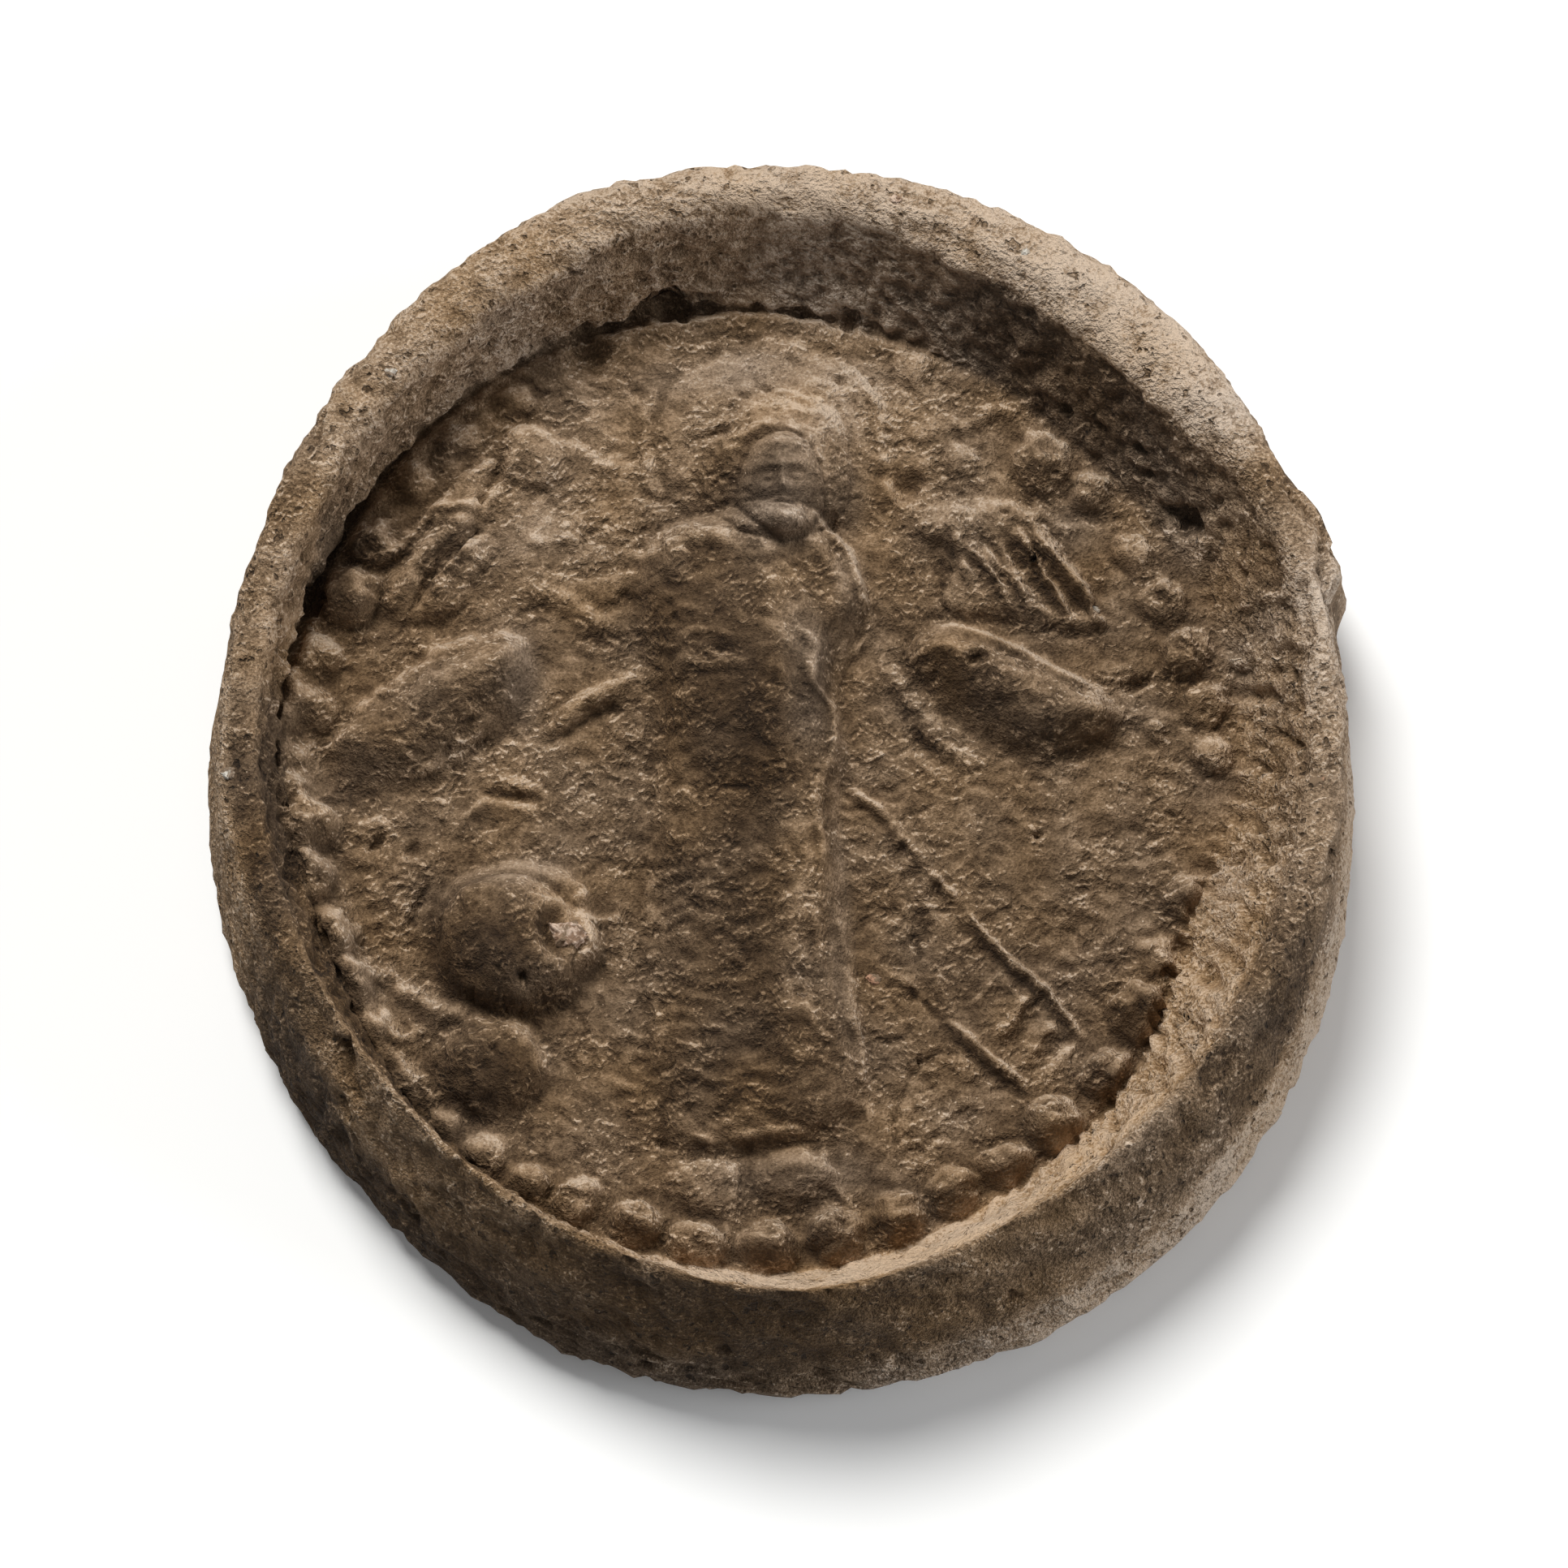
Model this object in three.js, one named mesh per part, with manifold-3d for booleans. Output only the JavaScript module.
// Terracotta pilgrim disc: one lump of clay pressed with a round carved die.
// The die leaves a sunken face with a raised scene in a ring of beads, and the
// clay that it pushes aside stands round the face as an uneven rim. A few stone
// grains of the temper show at the surface, each in its own pit.
// Millimetres, +Z up: the disc lies on its back, with the figure's head at +Y.
import * as THREE from 'three';
import { mergeVertices } from 'three/addons/utils/BufferGeometryUtils.js';
import Module from 'manifold-3d';

// The lump
const discRadius = 24.5;
const backThickness = 4;
const rimRise = 5.3;
const rimWidth = 2.9;
const wallRun = 2;
const backRound = 1.4;
const wallFlare = 0.5;
const shoulderDrop = 1.5;
const lipDrop = 0.45;

// The die's relief, heights over the sunken face
const beadRadius = 1.2;
const beadHeight = 1.15;
const shoeHalfLength = 1.6;
const shoeHalfWidth = 1.25;
const shoeHeight = 0.85;
const figureHeight = 1.2;
const figureRound = 1.1;
const foldHalfLength = 11.6;
const foldHalfWidth = 1.9;
const foldHeight = 1.9;
const headHalfWidth = 1.75;
const headHalfLength = 2.35;
const headHeight = 2.6;
const hoodHalfWidth = 3.1;
const hoodHalfLength = 3.5;
const hoodHeight = 1.75;
const nimbusRadius = 4.6;
const nimbusHeight = 0.5;
const bodyHalfLength = 4.6;
const bodyHalfWidth = 2;
const bodyHeight = 1.7;
const wingHalfLength = 3.9;
const wingHalfWidth = 2.2;
const wingHeight = 0.55;
const featherHalfWidth = 0.4;
const featherHeight = 0.95;
const smallHeadRadius = 1.35;
const smallHeadHeight = 0.6;
const bossRadius = 2.95;
const bossHeight = 2.6;
const bossSkirtRadius = 3.35;
const bossSkirtHeight = 0.8;
const smallBossRadius = 2.2;
const smallBossHeight = 1.5;
const barWidth = 0.6;
const cutOverrun = 1;

// The lap of surplus clay folded against the outside of the rim
const lapHalfLength = 3.8;
const lapHalfWidth = 1.6;
const lapHalfHeight = 2.4;
const lapOverhang = 0.8;

// The stone grains
const limeRadius = 0.85;
const limeHeight = 1.1;
const limeSeat = 0.95;
const chipRadius = 0.3;
const chipHeight = 0.3;
const pitDepth = 0.2;
const pitGap = 0.2;

const fieldZ = backThickness;
const crestZ = fieldZ + rimRise;
const faceRadius = discRadius - rimWidth - wallRun;

const sidesRound = 96;
const tau = 2 * Math.PI;

const clay = new THREE.MeshStandardMaterial({ color: 0x8d7259, roughness: 0.95, metalness: 0 });
const limeStone = new THREE.MeshStandardMaterial({ color: 0xcdb9a6, roughness: 0.85, metalness: 0 });
const quartz = new THREE.MeshStandardMaterial({ color: 0xe9e3d8, roughness: 0.35, metalness: 0 });
const grog = new THREE.MeshStandardMaterial({ color: 0xb9826a, roughness: 0.9, metalness: 0 });

// Shares round the lump, sixteen to the turn from +X towards +Y
const outlineShares = [
  0.95, 0.975, 1.02, 1.05, 1.045, 1.033, 0.988, 0.955,
  0.96, 0.967, 0.992, 1.037, 1.04, 1.033, 1.016, 0.992,
];
const rimWidthShares = [
  0.8, 0.8, 1.4, 1.25, 0.95, 1.15, 1.05, 0.95,
  1, 1, 0.95, 1.05, 0.85, 1.15, 1.15, 1,
];
const wallRunShares = [
  1.25, 1.4, 1.15, 1.2, 1.25, 0.65, 0.25, 0.15,
  0.2, 0.35, 0.4, 0.7, 1.2, 1.05, 1.25, 1.75,
];
const shoulderShares = [
  1.2, 1.1, 1.1, 0.9, 0.8, 0.8, 0.8, 0.9,
  1.3, 2.2, 3.5, 3.9, 4, 3.8, 3, 2,
];
const crestShares = [
  0.35, 0.4, 0.4, 0.4, 0.45, 0.4, 0.45, 0.45,
  0.35, 0.2, 0.12, 0.1, 0.1, 0.1, 0.12, 0.22,
];

function around(shares) {
  const knots = shares.map((share) => new THREE.Vector3(share, 0, 0));
  const loop = new THREE.CatmullRomCurve3(knots, true, 'catmullrom', 0.5);
  return (turn) => loop.getPoint(turn).x;
}

const outlineShare = around(outlineShares);
const rimWidthShare = around(rimWidthShares);
const wallRunShare = around(wallRunShares);
const shoulderShare = around(shoulderShares);
const crestShare = around(crestShares);

const outline = (turn) => discRadius * outlineShare(turn);
const lip = (turn) => outline(turn) - rimWidth * rimWidthShare(turn);
const foot = (turn) => lip(turn) - wallRun * wallRunShare(turn);

// From its crest the rim falls outwards, gently at the top of the face and steeply at its foot
const gentleBow = 2.5;
const steepBow = 1.15;
const steepShares = [1.2, 2.8];

const rimDrop = (turn) => shoulderDrop * shoulderShare(turn);
const shoulder = (turn) => outline(turn) - wallFlare;
const crest = (turn) => THREE.MathUtils.lerp(lip(turn), shoulder(turn), crestShare(turn));

function rimBow(turn) {
  const steep = THREE.MathUtils.smoothstep(shoulderShare(turn), ...steepShares);
  return THREE.MathUtils.lerp(gentleBow, steepBow, steep);
}

// Radius and height of the rim's top, from its crest, share 0, out to its shoulder, share 1
function downRim(share) {
  return [
    (turn) => THREE.MathUtils.lerp(crest(turn), shoulder(turn), share),
    (turn) => crestZ - rimDrop(turn) * share ** rimBow(turn),
  ];
}

// The lump's section, radius and height, from the back's edge over the rim to the wall's foot
const level = (height) => () => height;
const section = [
  [(turn) => outline(turn) - backRound, level(0)],
  [(turn) => outline(turn) - backRound * 0.35, level(backRound * 0.25)],
  [outline, level(backRound)],
  [(turn) => outline(turn) - wallFlare * 0.4, (turn) => (backRound + crestZ - rimDrop(turn)) / 2],
  downRim(1),
  downRim(0.7),
  downRim(0.4),
  downRim(0),
  [lip, level(crestZ - lipDrop)],
  [(turn) => THREE.MathUtils.lerp(lip(turn), foot(turn), 0.3), level(fieldZ + rimRise * 0.57)],
  [(turn) => THREE.MathUtils.lerp(lip(turn), foot(turn), 0.62), level(fieldZ + rimRise * 0.25)],
  [(turn) => THREE.MathUtils.lerp(lip(turn), foot(turn), 0.85), level(fieldZ + rimRise * 0.07)],
  [foot, level(fieldZ)],
];

// Rings of points joined into one closed skin, with a centre point at each end
function loft(rings, bottom, top) {
  const places = [bottom, ...rings.flat(), top].flatMap((place) => place.toArray());
  const faces = [];
  const last = rings.length - 1;
  const point = (ring, side) => 1 + ring * sidesRound + (side % sidesRound);
  for (let side = 0; side < sidesRound; side += 1) {
    faces.push(0, point(0, side + 1), point(0, side));
    faces.push(point(last, side), point(last, side + 1), 1 + rings.length * sidesRound);
    for (let ring = 0; ring < last; ring += 1) {
      faces.push(point(ring, side), point(ring, side + 1), point(ring + 1, side + 1));
      faces.push(point(ring, side), point(ring + 1, side + 1), point(ring + 1, side));
    }
  }
  const skin = new THREE.BufferGeometry();
  skin.setAttribute('position', new THREE.Float32BufferAttribute(places, 3));
  skin.setIndex(faces);
  return skin;
}

function lump() {
  const rings = section.map(([radius, height]) => {
    const ring = [];
    for (let side = 0; side < sidesRound; side += 1) {
      const turn = side / sidesRound;
      const place = new THREE.Vector3(radius(turn), 0, height(turn));
      ring.push(place.applyAxisAngle(new THREE.Vector3(0, 0, 1), turn * tau));
    }
    return ring;
  });
  return loft(rings, new THREE.Vector3(), new THREE.Vector3(0, 0, fieldZ));
}

const wasm = await Module();
wasm.setup();

function solid(geometry) {
  const bare = geometry.clone();
  bare.deleteAttribute('normal');
  bare.deleteAttribute('uv');
  const welded = mergeVertices(bare);
  return new wasm.Manifold(new wasm.Mesh({
    numProp: 3,
    vertProperties: welded.attributes.position.array,
    triVerts: new Uint32Array(welded.index.array),
  }));
}

function geometryOf(manifold) {
  const mesh = manifold.getMesh();
  const geometry = new THREE.BufferGeometry();
  geometry.setAttribute('position', new THREE.BufferAttribute(mesh.vertProperties, 3));
  geometry.setIndex(new THREE.BufferAttribute(mesh.triVerts, 1));
  geometry.computeVertexNormals();
  return geometry;
}

// A place on the sunken face, in shares of its radius
const onFace = ([xShare, yShare], height = 0) =>
  new THREE.Vector3(xShare * faceRadius, yShare * faceRadius, fieldZ + height);

// An ellipsoid half sunk in the face, for beads, bosses, heads and feathers
function swelling(place, halfLength, halfWidth, height, turn = 0, sides = 16) {
  const ball = new THREE.SphereGeometry(1, sides, sides / 2);
  ball.rotateX(tau / 4);
  ball.scale(halfLength, halfWidth, height);
  ball.rotateZ(turn * tau);
  ball.translate(place.x, place.y, place.z);
  return ball;
}

// A round bar half sunk in the face along a curve
function bar(shares, width, height = 0) {
  const route = new THREE.CatmullRomCurve3(shares.map((share) => onFace(share, height)));
  const round = new THREE.Shape().absarc(0, 0, width / 2, 0, tau);
  const steps = (shares.length - 1) * 2;
  return new THREE.ExtrudeGeometry(round, { extrudePath: route, steps, curveSegments: 4 });
}

// The ring of beads, worn low in places: where each lies, how wide and how high it is
const beadShares = [
  [-0.556, -0.852, 0.83, 0.64], [-0.454, -0.898, 0.88, 0.7], [-0.342, -0.959, 1, 0.99],
  [-0.214, -1.01, 1.04, 0.93], [-0.066, -1.02, 1.04, 1.04], [0.071, -0.995, 1.04, 0.99],
  [0.199, -0.959, 0.96, 0.93], [0.316, -0.913, 1, 0.93], [0.423, -0.857, 0.92, 0.81],
  [0.526, -0.776, 1.04, 0.93], [0.648, -0.668, 1, 0.93], [0.714, -0.541, 1.08, 1.04],
  [0.76, -0.423, 0.75, 0.41], [0.832, -0.296, 0.96, 0.64], [0.898, 0.015, 0.83, 0.52],
  [0.888, 0.122, 0.88, 0.58], [0.852, 0.235, 0.96, 0.7], [0.806, 0.352, 0.83, 0.46],
  [0.781, 0.066, 0.5, 0.35], [0.668, 0.602, 0.79, 0.58], [0.571, 0.668, 1.17, 0.75],
  [0.745, 0.469, 0.75, 0.35], [-0.883, 0.429, 1.08, 1.16], [-0.832, 0.546, 0.92, 0.64],
  [-0.949, 0.296, 0.79, 0.64], [-0.964, 0.179, 0.88, 0.58], [-0.98, -0.077, 1.04, 0.93],
  [-0.985, -0.189, 0.92, 0.58], [-0.944, -0.316, 1, 0.75], [-0.913, -0.429, 0.88, 0.58],
  [-0.862, -0.526, 0.67, 0.41], [-0.816, -0.648, 0.79, 0.52], [-0.73, -0.719, 0.75, 0.46],
  [-0.643, -0.791, 0.83, 0.52], [-0.74, 0.679, 0.75, 0.35],
];

function beads() {
  return beadShares.map(([xShare, yShare, wideShare, highShare]) => {
    const wide = beadRadius * wideShare;
    return swelling(onFace([xShare, yShare]), wide, wide, beadHeight * highShare, 0, 10);
  });
}

// The standing figure: a hooded head in a nimbus over a long robe
const headShare = [0.003, 0.617];
const hoodShare = [-0.005, 0.684];
const nimbusShare = [-0.003, 0.735];
const robeShares = [
  [0.092, 0.546], [0.148, 0.495], [0.179, 0.413], [0.184, 0.342], [0.148, 0.27], [0.117, 0.168],
  [0.128, 0.071], [0.112, -0.026], [0.102, -0.168], [0.117, -0.327], [0.138, -0.505], [0.143, -0.679],
  [0.102, -0.76], [-0.031, -0.791], [-0.168, -0.811], [-0.255, -0.77], [-0.276, -0.607], [-0.281, -0.403],
  [-0.276, -0.199], [-0.265, 0.005], [-0.255, 0.209], [-0.281, 0.383], [-0.265, 0.495], [-0.184, 0.556],
  [-0.051, 0.566],
];
const foldShare = [0.005, -0.117];
const hemShares = [[-0.25, -0.765], [-0.17, -0.79], [-0.09, -0.785], [0.01, -0.77], [0.06, -0.74]];
const collarShares = [[-0.25, 0.495], [-0.12, 0.495], [0.01, 0.49], [0.08, 0.51]];
const sleeveShares = [[0.1, 0.54], [0.158, 0.475], [0.18, 0.375], [0.185, 0.33]];
const haloShares = [[0.194, 0.862], [0.23, 0.8], [0.24, 0.7], [0.219, 0.617], [0.163, 0.556]];
const footShares = [[-0.199, -0.872], [-0.005, -0.872]];

function standingFigure() {
  const dress = new THREE.Shape();
  const [start, ...rest] = robeShares.map(([x, y]) => new THREE.Vector2(x, y).multiplyScalar(faceRadius));
  dress.moveTo(start.x, start.y);
  dress.splineThru(rest);
  dress.closePath();
  const robe = new THREE.ExtrudeGeometry(dress, {
    depth: cutOverrun,
    steps: 1,
    curveSegments: 2,
    bevelThickness: figureHeight,
    bevelSize: figureRound,
    bevelOffset: -figureRound,
    bevelSegments: 3,
  });
  robe.translate(0, 0, fieldZ - cutOverrun);
  const head = swelling(onFace(headShare), headHalfLength, headHalfWidth, headHeight, 0.25, 20);
  const hood = swelling(onFace(hoodShare), hoodHalfLength, hoodHalfWidth, hoodHeight, 0.22, 20);
  const nimbus = swelling(onFace(nimbusShare), nimbusRadius, nimbusRadius, nimbusHeight, 0, 24);
  const fold = swelling(onFace(foldShare), foldHalfLength, foldHalfWidth, foldHeight, 0.25, 20);
  const shoes = footShares.map((share) => {
    return swelling(onFace(share), shoeHalfLength, shoeHalfWidth, shoeHeight);
  });
  const hem = bar(hemShares, barWidth, figureHeight * 0.4);
  const collar = bar(collarShares, barWidth * 1.8, figureHeight * 0.85);
  const sleeve = bar(sleeveShares, barWidth * 1.4, figureHeight * 0.4);
  const halo = bar(haloShares, barWidth, nimbusHeight * 0.3);
  return [robe, head, hood, nimbus, fold, hem, collar, sleeve, halo, ...shoes];
}

// The two attendants: head, long body lobe, raised wing and its feathers
const rightBody = {
  bodyShare: [0.49, 0.161],
  bodyTurn: -0.071,
  headShare: [0.565, 0.675],
  wingShare: [0.515, 0.444],
  wingTurn: -0.11,
  neckShares: [[0.28, 0.545], [0.38, 0.575], [0.475, 0.58], [0.56, 0.56], [0.64, 0.52]],
};
const leftBody = {
  bodyShare: [-0.724, 0.166],
  bodyTurn: 0.08,
  headShare: [-0.5, 0.727],
  wingShare: [-0.689, 0.536],
  wingTurn: 0.148,
  neckShares: [[-0.474, 0.765], [-0.393, 0.73], [-0.316, 0.689]],
};
const rightFeatherShares = [
  [[0.41, 0.48], [0.48, 0.365]], [[0.45, 0.5], [0.53, 0.35]],
  [[0.51, 0.52], [0.615, 0.315]], [[0.555, 0.535], [0.68, 0.295]],
];
const leftFeatherShares = [
  [[-0.602, 0.536], [-0.72, 0.403]], [[-0.622, 0.597], [-0.801, 0.398]],
  [[-0.735, 0.582], [-0.832, 0.459]], [[-0.53, 0.73], [-0.607, 0.587]],
];

function feather([rootShare, tipShare]) {
  const root = onFace(rootShare);
  const tip = onFace(tipShare);
  const turn = Math.atan2(tip.y - root.y, tip.x - root.x) / tau;
  const middle = root.clone().lerp(tip, 0.5);
  const halfLength = root.distanceTo(tip) / 2 + featherHalfWidth;
  return swelling(middle, halfLength, featherHalfWidth, featherHeight, turn, 12);
}

function attendant(pose, featherShares) {
  const place = onFace(pose.bodyShare);
  const body = swelling(place, bodyHalfLength, bodyHalfWidth, bodyHeight, pose.bodyTurn, 20);
  const wingPlace = onFace(pose.wingShare);
  const wing = swelling(wingPlace, wingHalfLength, wingHalfWidth, wingHeight, pose.wingTurn, 20);
  const head = swelling(onFace(pose.headShare), smallHeadRadius, smallHeadRadius, smallHeadHeight);
  return [body, wing, head, bar(pose.neckShares, barWidth * 1.2), ...featherShares.map(feather)];
}

// The two round bosses, the curved ridges of arms and bands, and the ladder-like frame
const bossShare = [-0.582, -0.347];
const bossSkirtShare = [-0.568, -0.338];
const smallBossShare = [-0.634, -0.61];
const armShares = [
  [[0.214, 0.25], [0.26, 0.163], [0.321, 0.066], [0.408, 0.005]],
  [[-0.275, 0.23], [-0.378, 0.2], [-0.474, 0.102]],
  [[-0.61, 0.01], [-0.55, 0], [-0.495, -0.02]],
  [[-0.51, 0.444], [-0.418, 0.383], [-0.327, 0.352]],
  [[-0.929, -0.378], [-0.796, -0.444], [-0.643, -0.5], [-0.587, -0.52]],
  [[-0.857, -0.566], [-0.765, -0.638], [-0.673, -0.704]],
];
const ladderShares = [
  [[0.148, -0.041], [0.25, -0.148], [0.367, -0.311], [0.48, -0.444], [0.592, -0.582]],
  [[0.224, -0.444], [0.327, -0.551], [0.469, -0.694]],
  [[0.423, -0.587], [0.49, -0.485]],
  [[0.526, -0.658], [0.582, -0.597]],
];

function relief() {
  return [
    ...beads(),
    ...standingFigure(),
    ...attendant(rightBody, rightFeatherShares),
    ...attendant(leftBody, leftFeatherShares),
    swelling(onFace(bossShare), bossRadius, bossRadius, bossHeight, 0, 24),
    swelling(onFace(bossSkirtShare), bossSkirtRadius, bossSkirtRadius, bossSkirtHeight, 0, 24),
    swelling(onFace(smallBossShare), smallBossRadius, smallBossRadius, smallBossHeight, 0, 20),
    ...armShares.map((shares) => bar(shares, barWidth * 1.3)),
    ...ladderShares.map((shares) => bar(shares, barWidth)),
  ];
}

// The lap lies along the rim, with its top just under the crest
const lapTurn = 0.054;

function lap() {
  const reach = outline(lapTurn) + lapOverhang - lapHalfWidth;
  const place = new THREE.Vector3(reach, 0, crestZ - lipDrop - lapHalfHeight);
  place.applyAxisAngle(new THREE.Vector3(0, 0, 1), lapTurn * tau);
  return swelling(place, lapHalfLength, lapHalfWidth, lapHalfHeight, lapTurn + 0.25, 20);
}

// Stone grains: where each lies, how wide, and the level that its pit is cut down from
const grains = [
  {
    name: 'lime_grain', place: onFace([-0.456, -0.347], limeSeat),
    radius: limeRadius, height: limeHeight, stone: limeStone,
  },
  {
    name: 'quartz_sliver', place: onFace([0.665, 0.34]),
    radius: chipRadius, stone: quartz,
  },
  {
    name: 'quartz_grain_robe', place: onFace([0.02, -0.495], foldHeight * 0.75),
    radius: chipRadius * 0.8, stone: quartz,
  },
  {
    name: 'brown_grog_grain', place: onFace([0.17, -0.445]),
    radius: chipRadius * 1.2, stone: grog,
  },
];
const rimGrains = [
  { name: 'pink_grog_grain', turn: 0.98, downShare: 0, radius: chipRadius * 1.3, stone: grog },
  { name: 'quartz_grain_upper_left', turn: 0.37, downShare: 0, radius: chipRadius, stone: quartz },
  { name: 'quartz_grain_upper_right', turn: 0.173, downShare: 0, radius: chipRadius, stone: quartz },
  { name: 'lime_chip_top', turn: 0.212, downShare: 0, radius: chipRadius * 1.1, stone: limeStone },
  { name: 'quartz_grain_left', turn: 0.503, downShare: 0.6, radius: chipRadius * 1.1, stone: quartz },
];
for (const { turn, downShare, ...kind } of rimGrains) {
  const [reach, rimLevel] = downRim(downShare);
  const place = new THREE.Vector3(reach(turn), 0, rimLevel(turn) - chipHeight + pitDepth);
  place.applyAxisAngle(new THREE.Vector3(0, 0, 1), turn * tau);
  grains.push({ ...kind, place });
}

const floorOf = ({ place }) => place.z - pitDepth;

function pit(grain) {
  const wide = grain.radius + pitGap;
  const tall = crestZ + cutOverrun - floorOf(grain);
  const hole = new THREE.CylinderGeometry(wide, wide, tall, 10);
  hole.rotateX(tau / 4);
  hole.translate(grain.place.x, grain.place.y, floorOf(grain) + tall / 2);
  return hole;
}

// A broken grain: seven-sided, widest a third of the way up, flat where it sits
function stoneGrain(grain) {
  const { radius, height = chipHeight } = grain;
  const profile = [
    new THREE.Vector2(0, 0),
    new THREE.Vector2(radius * 0.8, 0),
    new THREE.Vector2(radius, height * 0.35),
    new THREE.Vector2(radius * 0.55, height * 0.9),
    new THREE.Vector2(0, height),
  ];
  const shape = new THREE.LatheGeometry(profile, 7);
  shape.rotateX(tau / 4);
  shape.scale(1, 0.85, 1);
  return shape;
}

function clayDisc() {
  let body = solid(lump()).add(solid(lap()));
  for (const form of relief()) {
    body = body.add(solid(form));
  }
  for (const grain of grains) {
    body = body.subtract(solid(pit(grain)));
  }
  return geometryOf(body);
}

function named(name, geometry, material) {
  const mesh = new THREE.Mesh(geometry, material);
  mesh.name = name;
  return mesh;
}

const disc = named('clay_disc', clayDisc(), clay);
const part = new THREE.Group();
part.add(disc);
for (const grain of grains) {
  const stone = named(grain.name, geometryOf(solid(stoneGrain(grain))), grain.stone);
  stone.position.set(grain.place.x, grain.place.y, floorOf(grain));
  part.add(stone);
}

// The origin is under the middle of the disc's own box
disc.geometry.computeBoundingBox();
const middle = disc.geometry.boundingBox.getCenter(new THREE.Vector3());
part.position.set(-middle.x, -middle.y, 0);

export default part;
